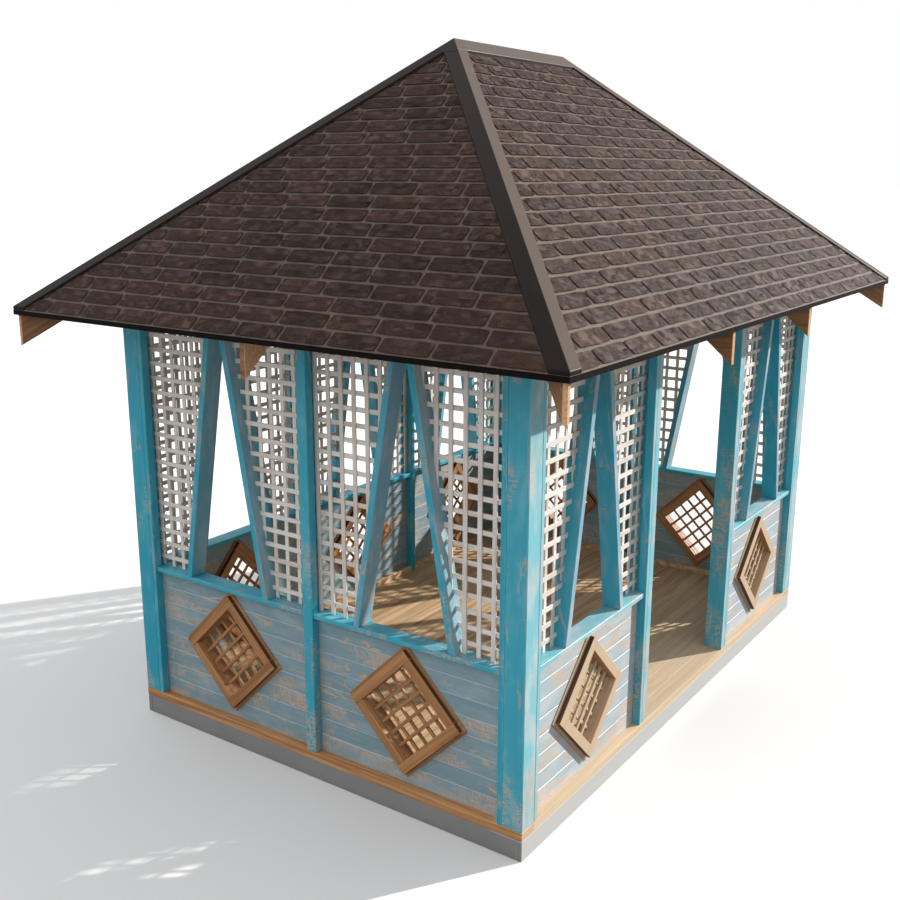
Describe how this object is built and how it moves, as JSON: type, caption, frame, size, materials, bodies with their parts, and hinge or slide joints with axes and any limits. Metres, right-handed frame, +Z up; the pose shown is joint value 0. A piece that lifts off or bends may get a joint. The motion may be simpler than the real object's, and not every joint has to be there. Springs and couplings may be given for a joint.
{
  "type": "bandstand",
  "caption": "Timber garden bandstand: boarded deck, panels with diamond windows, trellis between slanted boards above, open doorway and a hipped roof",
  "frame": {"origin": "bottom centre, on the ground under the middle of the deck", "axes": "+X along the long side, +Y from the doorway side to the back, +Z up"},
  "size_m": [4.238, 3.128, 3.5379],
  "materials": {
    "post_paint": "worn teal paint on sawn timber",
    "panel_paint": "worn grey-blue paint on boards",
    "trellis_paint": "worn off-white paint on laths",
    "plinth_paint": "weathered grey paint on boards",
    "deck_timber": "oiled and worn timber",
    "window_timber": "weathered bare timber",
    "rafter_timber": "weathered bare timber",
    "bare_softwood": "sawn softwood",
    "roof_covering": "brick-patterned covering on boards, matt",
    "cap_covering": "dark smooth covering on boards, matt"
  },
  "bodies": {
    "root": {"back_panels": "panel_paint", "back_posts": "post_paint", "back_trellis": "trellis_paint", "back_trellis_rails": "trellis_paint", "common_rafters": "rafter_timber", "corner_posts": "post_paint", "deck_boards": "deck_timber", "door_posts": "post_paint", "end_middle_posts": "post_paint", "end_sills": "post_paint", "end_slanted_boards": "post_paint", "end_stops": "post_paint", "end_wall_plates": "bare_softwood", "floor_joists": "bare_softwood", "front_panels": "panel_paint", "front_trellis": "trellis_paint", "front_trellis_rails": "trellis_paint", "hip_caps": "cap_covering", "hip_rafters": "rafter_timber", "inner_window_frames": "window_timber", "left_end_panels": "panel_paint", "left_end_trellis": "trellis_paint", "left_end_trellis_rails": "trellis_paint", "long_side_sills": "post_paint", "long_side_slanted_boards": "post_paint", "long_side_stops": "post_paint", "long_wall_plates": "bare_softwood", "outer_window_frames": "window_timber", "panel_battens": "window_timber", "plinth_end_boards": "plinth_paint", "plinth_long_boards": "plinth_paint", "ridge_board": "bare_softwood", "ridge_cap": "cap_covering", "right_end_panels": "panel_paint", "right_end_trellis": "trellis_paint", "right_end_trellis_rails": "trellis_paint", "roof_back": "roof_covering", "roof_front": "roof_covering", "roof_left_end": "roof_covering", "roof_right_end": "roof_covering", "window_grilles": "window_timber"}
  },
  "joints": []
}
